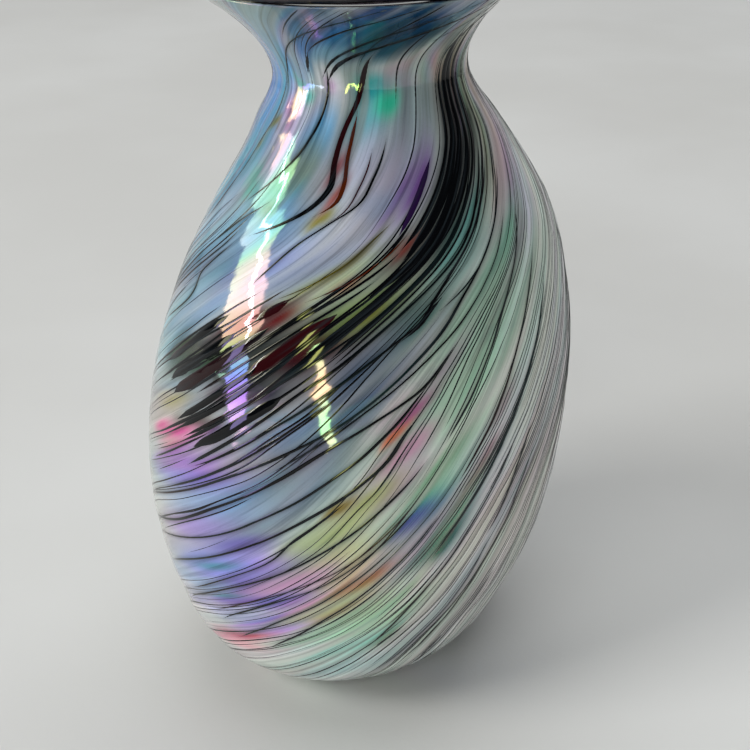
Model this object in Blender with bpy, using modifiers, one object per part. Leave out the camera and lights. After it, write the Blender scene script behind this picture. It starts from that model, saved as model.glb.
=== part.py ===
"""Hand blown art glass vase: a leaning, swirled bottle form with a flared mouth.

The vase is built in the layers a glassblower adds: a dark gather as the lining, a casing of
opal glass over it, bold trails of dark glass on the casing, a dark wrap on the lip, and the
pontil stub that is ground flat with the foot. Metres, +Z up, origin at the middle of the foot.
"""

import math

import bpy
import numpy as np

# Driving dimensions
WALL_TOP = 0.200
CASING_DEPTH = 0.0026
LINING_DEPTH = 0.0016
LIP_THINNING = 0.70
THINNING_STARTS = 0.165
LAYER_GAP = 0.0003

# Radius of the outer surface at each height, from the foot to the mouth
RADIUS_KNOTS = (
    (0.000, 0.0280),
    (0.012, 0.0413),
    (0.035, 0.0530),
    (0.055, 0.0581),
    (0.076, 0.0597),
    (0.110, 0.0562),
    (0.140, 0.0462),
    (0.165, 0.0319),
    (0.179, 0.0249),
    (0.190, 0.0300),
    (0.200, 0.0410),
)

# How far the middle of the section has leaned towards +X at each height
LEAN_KNOTS = (
    (0.000, 0.0000),
    (0.040, 0.0039),
    (0.080, 0.0074),
    (0.120, 0.0127),
    (0.150, 0.0158),
    (0.175, 0.0140),
    (0.200, 0.0098),
)

# How far the pulled trails have wound round, in degrees, from the lip down to each height
TWIST_KNOTS = (
    (0.000, 139.0),
    (0.010, 130.0),
    (0.040, 108.0),
    (0.080, 83.0),
    (0.110, 60.0),
    (0.128, 44.0),
    (0.150, 22.0),
    (0.165, 9.0),
    (0.175, 3.0),
    (0.190, 0.0),
    (0.200, 0.0),
)

# The trails wind round a line off the middle, so they crowd together on the far side of it:
# its distance from the middle towards +X and towards +Y, as a share of the radius
PULL_ACROSS_KNOTS = (
    (0.000, 0.34),
    (0.010, 0.36),
    (0.080, 0.44),
    (0.140, 0.21),
    (0.185, -0.03),
    (0.200, -0.03),
)
PULL_BACK_KNOTS = (
    (0.000, 0.58),
    (0.010, 0.56),
    (0.080, 0.38),
    (0.140, 0.50),
    (0.185, 0.66),
    (0.200, 0.66),
)
NEWTON_STEPS = 30

# Heights at which the walls have a ring of vertices above the floor of the hollow
RING_HEIGHTS = (
    0.008, 0.012, 0.018, 0.026, 0.036, 0.048, 0.062, 0.076, 0.090, 0.104, 0.117,
    0.129, 0.140, 0.150, 0.159, 0.167, 0.173, 0.179, 0.185, 0.190, 0.195, WALL_TOP,
)

FOOT_RADIUS = 0.0262
FOOT_EDGE_HEIGHT = 0.0010
CASING_FLOOR = 0.0042
LINING_FLOOR = 0.0078
PONTIL_RADIUS = 0.0120
PONTIL_THICKNESS = 0.0036

LIP_HEIGHT = 0.0036
LIP_OVERHANG = 0.0005
LIP_SIDES = 12

TRAIL_RADIUS = 0.00075
TRAIL_TIP = 0.45
TRAIL_TAPER_POINTS = 3
TRAIL_STEP = 0.0045

# Each bold trail: its angle at its upper end, in degrees from +X, and its two end heights
TRAILS = {
    "neck_trail_left": (-121.0, 0.184, 0.146),
    "neck_trail_front": (-101.0, 0.184, 0.138),
    "neck_trail_right": (-84.0, 0.184, 0.124),
    "shoulder_trail_upper": (-58.0, 0.184, 0.098),
    "shoulder_trail_middle": (-48.0, 0.184, 0.078),
    "shoulder_trail_lower": (-38.0, 0.184, 0.062),
    "back_trail_right": (52.0, 0.184, 0.070),
    "back_trail_left": (142.0, 0.184, 0.084),
}

WALL_STEPS = 56
LINING_STEPS = 44

OPAL = ("opal_glass", (0.62, 0.66, 0.68), 0.12)
DARK = ("dark_glass", (0.020, 0.014, 0.018), 0.08)
TRAIL = ("trail_glass", (0.030, 0.034, 0.042), 0.10)
GROUND = ("ground_glass", (0.30, 0.32, 0.33), 0.45)


def smooth_value(knots, height):
    """Value of the smooth curve through the knots (cubic, with central slopes)."""
    heights = np.array([knot[0] for knot in knots])
    values = np.array([knot[1] for knot in knots])
    slopes = np.gradient(values, heights)
    last = len(heights) - 2
    index = np.clip(np.searchsorted(heights, height) - 1, 0, last)
    span = heights[index + 1] - heights[index]
    part = (height - heights[index]) / span
    square = part * part
    cube = square * part
    start = (2.0 * cube - 3.0 * square + 1.0) * values[index]
    start_slope = (cube - 2.0 * square + part) * span * slopes[index]
    end = (3.0 * square - 2.0 * cube) * values[index + 1]
    end_slope = (cube - square) * span * slopes[index + 1]
    return start + start_slope + end + end_slope


def outer_normal(height):
    """Outward normal of the outer outline at a height, as radial and upward parts."""
    step = 0.0004
    above = min(height + step, WALL_TOP)
    below = max(height - step, 0.0)
    rise = above - below
    run = smooth_value(RADIUS_KNOTS, above) - smooth_value(RADIUS_KNOTS, below)
    length = math.hypot(rise, run)
    return rise / length, -run / length


def wall_share(height):
    """The walls keep their full depth up to the neck and thin towards the lip."""
    rise = (height - THINNING_STARTS) / (WALL_TOP - THINNING_STARTS)
    rise = min(max(rise, 0.0), 1.0)
    return 1.0 + (LIP_THINNING - 1.0) * rise


def layer_radius(height, depth_share, gaps):
    """Radius, at a height, of a surface that lies a depth inside the outer surface."""
    radii = []
    heights = []
    for sample in np.linspace(0.0, WALL_TOP, 401):
        radial, upward = outer_normal(sample)
        depth = depth_share * wall_share(sample) + gaps * LAYER_GAP
        radii.append(smooth_value(RADIUS_KNOTS, sample) - depth * radial)
        heights.append(sample - depth * upward)
    return float(np.interp(height, heights, radii))


def wall_points(depth_share, gaps, floor):
    """Points of one wall surface from the floor up, at the ring heights above the floor."""
    points = [(layer_radius(floor, depth_share, gaps), floor)]
    for height in RING_HEIGHTS:
        if height > floor + 0.002:
            points.append((layer_radius(height, depth_share, gaps), height))
    return points


def make_collection(name):
    collection = bpy.data.collections.new(name)
    bpy.context.scene.collection.children.link(collection)
    return collection


def make_material(finish):
    name, colour, roughness = finish
    material = bpy.data.materials.get(name)
    if material is None:
        material = bpy.data.materials.new(name)
        material.use_nodes = True
        shader = material.node_tree.nodes["Principled BSDF"]
        shader.inputs["Base Color"].default_value = (*colour, 1.0)
        shader.inputs["Roughness"].default_value = roughness
        shader.inputs["Metallic"].default_value = 0.0
    return material


def lean(mesh):
    """Slide every ring sideways to the leaning middle line."""
    for vertex in mesh.vertices:
        height = min(max(vertex.co.z, 0.0), WALL_TOP)
        vertex.co.x += float(smooth_value(LEAN_KNOTS, height))


def settle(blank, name, finish, collection):
    """Turn a blank's evaluated shape into the finished mesh object."""
    graph = bpy.context.evaluated_depsgraph_get()
    mesh = bpy.data.meshes.new_from_object(blank.evaluated_get(graph))
    bpy.data.objects.remove(blank)
    lean(mesh)
    mesh.shade_smooth()
    mesh.set_sharp_from_angle(angle=math.radians(40.0))
    mesh.materials.clear()
    mesh.materials.append(make_material(finish))
    piece = bpy.data.objects.new(name, mesh)
    collection.objects.link(piece)
    return piece


def turn(name, outline, closed, steps, finish, collection):
    """Turn an outline, given as radius and height, once round the upright axis."""
    mesh = bpy.data.meshes.new(name + "_outline")
    edges = [(index, index + 1) for index in range(len(outline) - 1)]
    if closed:
        edges.append((len(outline) - 1, 0))
    mesh.from_pydata([(radius, 0.0, height) for radius, height in outline], edges, [])
    blank = bpy.data.objects.new(name + "_blank", mesh)
    collection.objects.link(blank)
    screw = blank.modifiers.new("turn", "SCREW")
    screw.axis = "Z"
    screw.angle = 2.0 * math.pi
    screw.steps = steps
    screw.render_steps = steps
    screw.use_merge_vertices = True
    screw.merge_threshold = 0.00001
    screw.use_smooth_shade = True
    bpy.context.view_layer.update()
    return settle(blank, name, finish, collection)


def make_opal_casing(collection):
    """Outer wall of opal glass, with a flat foot and a round hole for the pontil stub."""
    inner = wall_points(CASING_DEPTH, 0, CASING_FLOOR)
    outer = [(layer_radius(height, 0.0, 0), height) for height in (0.003, *RING_HEIGHTS)]
    hole = PONTIL_RADIUS + LAYER_GAP
    foot = [
        (FOOT_RADIUS + 0.0026, FOOT_EDGE_HEIGHT),
        (FOOT_RADIUS, 0.0),
        (hole, 0.0),
        (hole, CASING_FLOOR),
    ]
    outline = outer[::-1] + foot + inner
    return turn("opal_casing", outline, True, WALL_STEPS, OPAL, collection)


def make_dark_lining(collection):
    """Inner wall of dark glass: the first gather, open at the mouth."""
    outer = wall_points(CASING_DEPTH, 1, CASING_FLOOR + LAYER_GAP)
    inner = wall_points(CASING_DEPTH + LINING_DEPTH, 1, LINING_FLOOR)
    outline = outer[::-1] + [(0.0, CASING_FLOOR + LAYER_GAP), (0.0, LINING_FLOOR)] + inner
    outline.append(outline[0])
    return turn("dark_lining", outline, False, LINING_STEPS, DARK, collection)


def make_lip_wrap(collection):
    """Ring of dark glass wound on the mouth, with an oval section."""
    outer = layer_radius(WALL_TOP, 0.0, 0) + LIP_OVERHANG
    inner = layer_radius(WALL_TOP, CASING_DEPTH + LINING_DEPTH, 1) - LIP_OVERHANG
    middle = 0.5 * (outer + inner)
    base = WALL_TOP + LAYER_GAP
    outline = []
    for side in range(LIP_SIDES):
        angle = math.pi / 2.0 - 2.0 * math.pi * side / LIP_SIDES
        radius = middle + 0.5 * (outer - inner) * math.cos(angle)
        height = base + 0.5 * LIP_HEIGHT * (1.0 + math.sin(angle))
        outline.append((radius, height))
    return turn("lip_wrap", outline, True, WALL_STEPS, DARK, collection)


def make_pontil_stub(collection):
    """Stub of the gather that held the vase to the pontil, ground flat with the foot."""
    outline = [
        (0.0, PONTIL_THICKNESS),
        (PONTIL_RADIUS, PONTIL_THICKNESS),
        (PONTIL_RADIUS, 0.0),
        (0.0, 0.0),
    ]
    return turn("pontil_stub", outline, False, LINING_STEPS, GROUND, collection)


def crowded(angle, height):
    """Angle round the off-middle pull line of a place at an angle round the middle."""
    across = smooth_value(PULL_ACROSS_KNOTS, height)
    back = smooth_value(PULL_BACK_KNOTS, height)
    return angle + across * math.sin(angle) - back * math.cos(angle)


def spread(pull_angle, height):
    """Angle round the middle of a place at an angle round the pull line."""
    across = smooth_value(PULL_ACROSS_KNOTS, height)
    back = smooth_value(PULL_BACK_KNOTS, height)
    angle = pull_angle
    for _ in range(NEWTON_STEPS):
        error = crowded(angle, height) - pull_angle
        angle -= error / (1.0 + across * math.cos(angle) + back * math.sin(angle))
    return angle


def trail_path(start_angle, top, bottom):
    """Points of one trail that winds down the outer surface and just clears it."""
    start = crowded(start_angle, top) + math.radians(smooth_value(TWIST_KNOTS, top))
    clearance = LAYER_GAP + TRAIL_RADIUS
    points = []
    height = top
    while height > bottom:
        twist = math.radians(smooth_value(TWIST_KNOTS, height))
        angle = spread(start - twist, height)
        radial, upward = outer_normal(height)
        radius = smooth_value(RADIUS_KNOTS, height) + clearance * radial
        across = smooth_value(LEAN_KNOTS, height)
        level = height + clearance * upward
        points.append((across + radius * math.cos(angle), radius * math.sin(angle), level))
        height -= TRAIL_STEP * radial
    return points


def make_trail(name, start_angle, top, bottom, collection):
    path = trail_path(math.radians(start_angle), top, bottom)
    curve = bpy.data.curves.new(name, "CURVE")
    curve.dimensions = "3D"
    curve.bevel_depth = TRAIL_RADIUS
    curve.bevel_resolution = 2
    curve.use_fill_caps = True
    spline = curve.splines.new("POLY")
    spline.points.add(len(path) - 1)
    for index, place in enumerate(path):
        from_end = min(index, len(path) - 1 - index)
        share = min(from_end / TRAIL_TAPER_POINTS, 1.0)
        spline.points[index].co = (*place, 1.0)
        spline.points[index].radius = TRAIL_TIP + (1.0 - TRAIL_TIP) * share
    curve.materials.append(make_material(TRAIL))
    trail = bpy.data.objects.new(name, curve)
    collection.objects.link(trail)
    return trail


def main():
    for leftover in list(bpy.data.objects):
        bpy.data.objects.remove(leftover)
    vase = make_collection("art_glass_vase")
    make_opal_casing(vase)
    make_dark_lining(vase)
    make_lip_wrap(vase)
    make_pontil_stub(vase)
    for name, (start_angle, top, bottom) in TRAILS.items():
        make_trail(name, start_angle, top, bottom, vase)


main()
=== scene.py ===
"""Looks of the hand blown art glass vase: iridised opal glass with dark threads pulled round it.

The casing, the lining, the lip wrap and the pontil stub are dense meshes made round the CAD
model's outline. The dark threads are raised ribbons of glass that follow the same pull lines as
the streaks and colour washes in the casing, so relief, colour and gloss all run together.
"""

import math

import bpy
import numpy as np
from mathutils import Matrix, Vector


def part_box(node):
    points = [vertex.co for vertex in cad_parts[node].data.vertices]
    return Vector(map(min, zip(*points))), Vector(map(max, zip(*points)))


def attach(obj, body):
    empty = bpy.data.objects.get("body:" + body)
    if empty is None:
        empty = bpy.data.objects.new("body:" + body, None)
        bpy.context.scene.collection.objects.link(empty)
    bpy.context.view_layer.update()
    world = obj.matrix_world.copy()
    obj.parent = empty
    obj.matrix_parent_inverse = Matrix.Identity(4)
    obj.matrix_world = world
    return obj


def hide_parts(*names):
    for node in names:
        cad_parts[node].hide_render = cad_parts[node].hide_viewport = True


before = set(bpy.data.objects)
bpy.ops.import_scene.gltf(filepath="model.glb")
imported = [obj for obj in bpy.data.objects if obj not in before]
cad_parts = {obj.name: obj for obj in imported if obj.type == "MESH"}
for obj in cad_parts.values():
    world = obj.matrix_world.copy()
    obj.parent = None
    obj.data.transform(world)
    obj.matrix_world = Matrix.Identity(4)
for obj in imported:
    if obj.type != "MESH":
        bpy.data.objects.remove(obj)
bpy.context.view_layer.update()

# ---------------------------------------------------------------- the form
# In metres and degrees, as in the CAD model but for the last turn of the twist, near the lip
WALL_TOP = 0.200
CASING_DEPTH = 0.0026
LINING_DEPTH = 0.0016
LAYER_GAP = 0.0003
LIP_THINNING = 0.70
THINNING_STARTS = 0.165
FOOT_RADIUS = 0.0262
CASING_FLOOR = 0.0042
LINING_FLOOR = 0.0078
PONTIL_RADIUS = 0.0120
PONTIL_THICKNESS = 0.0036
LIP_HEIGHT = 0.0036

RADIUS_KNOTS = (
    (0.000, 0.0280), (0.012, 0.0413), (0.035, 0.0530), (0.055, 0.0581), (0.076, 0.0597),
    (0.110, 0.0562), (0.140, 0.0462), (0.165, 0.0319), (0.179, 0.0249), (0.190, 0.0300),
    (0.200, 0.0410),
)
LEAN_KNOTS = (
    (0.000, 0.0000), (0.040, 0.0039), (0.080, 0.0074), (0.120, 0.0127), (0.150, 0.0158),
    (0.175, 0.0140), (0.200, 0.0098),
)
TWIST_KNOTS = (
    (0.000, 139.0), (0.010, 130.0), (0.040, 108.0), (0.080, 83.0), (0.110, 60.0),
    (0.128, 44.0), (0.150, 22.0), (0.165, 9.0), (0.175, 3.0), (0.186, -1.0), (0.200, -13.0),
)
PULL_ACROSS_KNOTS = (
    (0.000, 0.34), (0.010, 0.36), (0.080, 0.44), (0.140, 0.21), (0.185, -0.03), (0.200, -0.03),
)
PULL_BACK_KNOTS = (
    (0.000, 0.58), (0.010, 0.56), (0.080, 0.38), (0.140, 0.50), (0.185, 0.66), (0.200, 0.66),
)
NEWTON_STEPS = 14
SLOPE_STEP = 0.0002

# The strands drift from the pull lines at the front's right side, by whole degrees over a length,
# and near the foot, by degrees a square millimetre; heights and lengths are in mm
FOOT_DRIFT = 0.0045
FOOT_DRIFT_STARTS = 70.0
SIDE_DRIFT = 14.0
SIDE_DRIFT_STARTS = 162.0
SIDE_DRIFT_LENGTH = 104.0
SIDE_DRIFT_MIDDLE = -26.0
SIDE_DRIFT_REACH = 25.0

# ---------------------------------------------------------------- mesh detail
COLUMNS = 760
OUTER_ROWS = 420
INNER_ROWS = 60
FOOT_EDGE = 0.0012
FOOT_FADE = 0.006
LIP_FADE = 0.003
FOOT_STEPS = (0.35, 0.65, 0.85, 1.0)
FOOT_RINGS = 13
LINING_COLUMNS = 480
LINING_OUTER_ROWS = 70
LINING_INNER_ROWS = 150
LINING_START = 0.0006
LINING_RIPPLE = 0.00012
FLOOR_SHARES = np.linspace(0.94, 0.02, 8)
LIP_COLUMNS = 720
LIP_SIDES = 28
LIP_WIDTH = 0.0058
LIP_INSET = 0.0003
PONTIL_COLUMNS = 160
PONTIL_RINGS = 30
PONTIL_BEVEL = 0.0003
GROUND_BEVEL = 0.0004
GRIND_DEPTH = 0.00005
GRIND_RIPPLE = 0.00003
PATH_LEVELS = 400
OUTLINE_LEVELS = 800
THREAD_LEVELS = 600
NOISE_ROWS = 512

# ---------------------------------------------------------------- the threads' make
FINE_THREADS = 300
FINE_SIDES = 5
BOLD_SIDES = 9
THREAD_STEP = 0.0014
TAPER_STEPS = 4.0
SHORTEST_THREAD = 8
# Rise of a ribbon over the wall: at least, with its half width, and at most; its edges' sink
CROWN_BASE = 0.00003
CROWN_SHARE = 0.14
CROWN_LIMIT = 0.00017
EDGE_SINK = 0.00004
BOLDNESS = 0.95
LOW_BOLDNESS = 0.60
LOW_BOLDNESS_STARTS = 0.060
LOW_BOLDNESS_LENGTH = 0.040
FINENESS = 1.15
BOLD_TAPER = 7.0
PRESENT = 0.03
# Where the fine threads turn from black to grey, in degrees and mm: the grey is painted reflection of the
# pale backdrop over the dark threads
THREAD_VEIL_STARTS = -48.0
THREAD_VEIL_SHIFT = 0.55
THREAD_VEIL_SHIFT_STARTS = 100.0
THREAD_VEIL_REACH = 30.0
THREAD_VEIL_TOP = 170.0
THREAD_VEIL_FADE = 20.0


def smooth_value(knots, height):
    """Value of the smooth curve through the knots (cubic, with central slopes)."""
    heights = np.array([knot[0] for knot in knots])
    values = np.array([knot[1] for knot in knots])
    slopes = np.gradient(values, heights)
    level = np.clip(height, heights[0], heights[-1])
    index = np.clip(np.searchsorted(heights, level) - 1, 0, len(heights) - 2)
    span = heights[index + 1] - heights[index]
    part = (level - heights[index]) / span
    square = part * part
    cube = square * part
    start = (2.0 * cube - 3.0 * square + 1.0) * values[index]
    start_slope = (cube - 2.0 * square + part) * span * slopes[index]
    end = (3.0 * square - 2.0 * cube) * values[index + 1]
    end_slope = (cube - square) * span * slopes[index + 1]
    return start + start_slope + end + end_slope


def slope_of(knots, height):
    """Slope of the curve through the knots, within the wall."""
    above = np.clip(height + SLOPE_STEP, 0.0, WALL_TOP)
    below = np.clip(height - SLOPE_STEP, 0.0, WALL_TOP)
    return (smooth_value(knots, above) - smooth_value(knots, below)) / (above - below)


def outer_point(angle, height):
    """Point of the plain outer surface, and its outward normal."""
    radius = smooth_value(RADIUS_KNOTS, height)
    across = smooth_value(LEAN_KNOTS, height)
    point = np.stack(
        [across + radius * np.cos(angle), radius * np.sin(angle), height + 0.0 * angle], axis=-1
    )
    upward = -slope_of(RADIUS_KNOTS, height) - slope_of(LEAN_KNOTS, height) * np.cos(angle)
    normal = np.stack([np.cos(angle), np.sin(angle), upward], axis=-1)
    normal /= np.linalg.norm(normal, axis=-1, keepdims=True)
    return point, normal


def wall_share(height):
    """Thickness of the wall at a height, as a share of its full thickness."""
    rise = np.clip((height - THINNING_STARTS) / (WALL_TOP - THINNING_STARTS), 0.0, 1.0)
    return 1.0 + (LIP_THINNING - 1.0) * rise


# ---------------------------------------------------------------- pull lines
def wrapped(degrees):
    """The same direction, from -180 to 180 degrees."""
    return (degrees + 180.0) % 360.0 - 180.0


def pull_angle(angle, height):
    """Label, in radians, of the pull line through a place on the surface."""
    across = smooth_value(PULL_ACROSS_KNOTS, height)
    back = smooth_value(PULL_BACK_KNOTS, height)
    twist = np.radians(smooth_value(TWIST_KNOTS, height))
    return angle + across * np.sin(angle) - back * np.cos(angle) + twist


def angle_on(pull, height):
    """Angle round the middle at which a pull line crosses a height."""
    across = smooth_value(PULL_ACROSS_KNOTS, height)
    back = smooth_value(PULL_BACK_KNOTS, height)
    target = pull - np.radians(smooth_value(TWIST_KNOTS, height))
    angle = target + 0.0
    for _ in range(NEWTON_STEPS):
        error = angle + across * np.sin(angle) - back * np.cos(angle) - target
        angle = angle - error / (1.0 + across * np.cos(angle) + back * np.sin(angle))
    return angle


def eased(share):
    """A share held between 0 and 1 that starts and ends gently."""
    held = np.clip(share, 0.0, 1.0)
    return held * held * (3.0 - 2.0 * held)


def strand_drift(pull, height):
    """How far the strands have drifted round from the plain pull lines, and its rate in pull."""
    height_mm = height * 1000.0
    low = FOOT_DRIFT * np.clip(FOOT_DRIFT_STARTS - height_mm, 0.0, None) ** 2
    fall = SIDE_DRIFT * eased((SIDE_DRIFT_STARTS - height_mm) / SIDE_DRIFT_LENGTH)
    off = wrapped(np.degrees(pull) - SIDE_DRIFT_MIDDLE) / SIDE_DRIFT_REACH
    side = np.exp(-off * off)
    rate = -2.0 * off * side * fall / SIDE_DRIFT_REACH
    return np.radians(low + fall * side), rate


def strand_of(pull, height):
    """Label of the strand of glass through a place on the surface, in radians."""
    return pull - strand_drift(pull, height)[0]


def pull_of(strand, height):
    """Pull line on which a strand lies at a height."""
    pull = strand + np.zeros(np.shape(height))
    for _ in range(NEWTON_STEPS):
        drift, rate = strand_drift(pull, height)
        pull = pull - (pull - drift - strand) / (1.0 - rate)
    return pull


def running_length(levels, rate):
    """Length of a line from its top down to each level, from its length per unit of height."""
    steps = 0.5 * (rate[1:] + rate[:-1]) * -np.diff(levels)
    return np.concatenate([[0.0], np.cumsum(steps)])


def path_length(height):
    """Distance down a pull line from the lip, near enough, in metres."""
    levels = np.linspace(WALL_TOP, 0.0, PATH_LEVELS)
    radius = smooth_value(RADIUS_KNOTS, levels)
    turn = np.gradient(np.radians(smooth_value(TWIST_KNOTS, levels)), levels)
    rise = np.gradient(radius, levels)
    total = running_length(levels, np.sqrt(1.0 + rise**2 + (radius * turn) ** 2))
    return np.interp(-np.asarray(height), -levels, total)


# ---------------------------------------------------------------- smooth noise
def smoother(share):
    """A share from 0 to 1 whose curve and slope are both smooth at its ends."""
    return share * share * share * (share * (share * 6.0 - 15.0) + 10.0)


def lattice_noise(turns, along, cells, seed, edge=1.0):
    """Noise from -1 to 1 with a whole number of cells round the body, for arrays.

    Across the cells it changes over the share of a cell that edge gives, so a small edge makes
    stripes with crisp sides.
    """
    table = np.random.default_rng(seed).uniform(-1.0, 1.0, (NOISE_ROWS, cells))
    x = np.mod(turns, 1.0) * cells
    y = np.mod(along, NOISE_ROWS)
    left = np.floor(x).astype(int)
    top = np.floor(y).astype(int)
    share_x = smoother(np.clip((x - left - 0.5) / edge + 0.5, 0.0, 1.0))
    share_y = smoother(y - top)
    left = np.mod(left, cells)
    right = np.mod(left + 1, cells)
    top = np.mod(top, NOISE_ROWS)
    bottom = np.mod(top + 1, NOISE_ROWS)
    upper = table[top, left] * (1.0 - share_x) + table[top, right] * share_x
    lower = table[bottom, left] * (1.0 - share_x) + table[bottom, right] * share_x
    return upper * (1.0 - share_y) + lower * share_y


def streaks(pull, height, cells, length, seed, edge=1.0):
    """Noise that is drawn out along the pull lines; length is a cell's length in metres."""
    turns = pull / (2.0 * math.pi)
    return lattice_noise(turns, path_length(height) / length, cells, seed, edge)


# ---------------------------------------------------------------- colours
def srgb(code):
    """Linear colour of a six-digit sRGB code."""
    parts = np.array([int(code[i:i + 2], 16) for i in (0, 2, 4)]) / 255.0
    return np.where(parts <= 0.04045, parts / 12.92, ((parts + 0.055) / 1.055) ** 2.4)


OPAL = srgb("d0d3cf")
# Brightness of the washes: deep at the left, and pale round a pull line at the right that lies
# further round low down, in degrees and mm. The pale side is painted reflection: the veil of the
# pale backdrop on that side of the glass, painted into the colour
UNVEILED_SHARE = 0.72
PAINTED_VEIL_SHARE = 1.16
PAINTED_VEIL_MIDDLE = 6.0
PAINTED_VEIL_SHIFT = 22.0
PAINTED_VEIL_SHIFT_STARTS = 110.0
PAINTED_VEIL_SHIFT_LENGTH = 40.0
PAINTED_VEIL_REACH = 66.0
SATURATION = 1.32
LUMINANCE = np.array([0.2126, 0.7152, 0.0722])
HUE_CHANGE = np.array([0.07, -0.03, -0.01])
FLECK_DEPTH = 0.7
# The dark bleed beside a bold thread: depth, reach as a share of its width, and fade at its ends
HALO_DEPTH = 0.62
HALO_REACH = 0.85
HALO_FADE = 0.008

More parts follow.
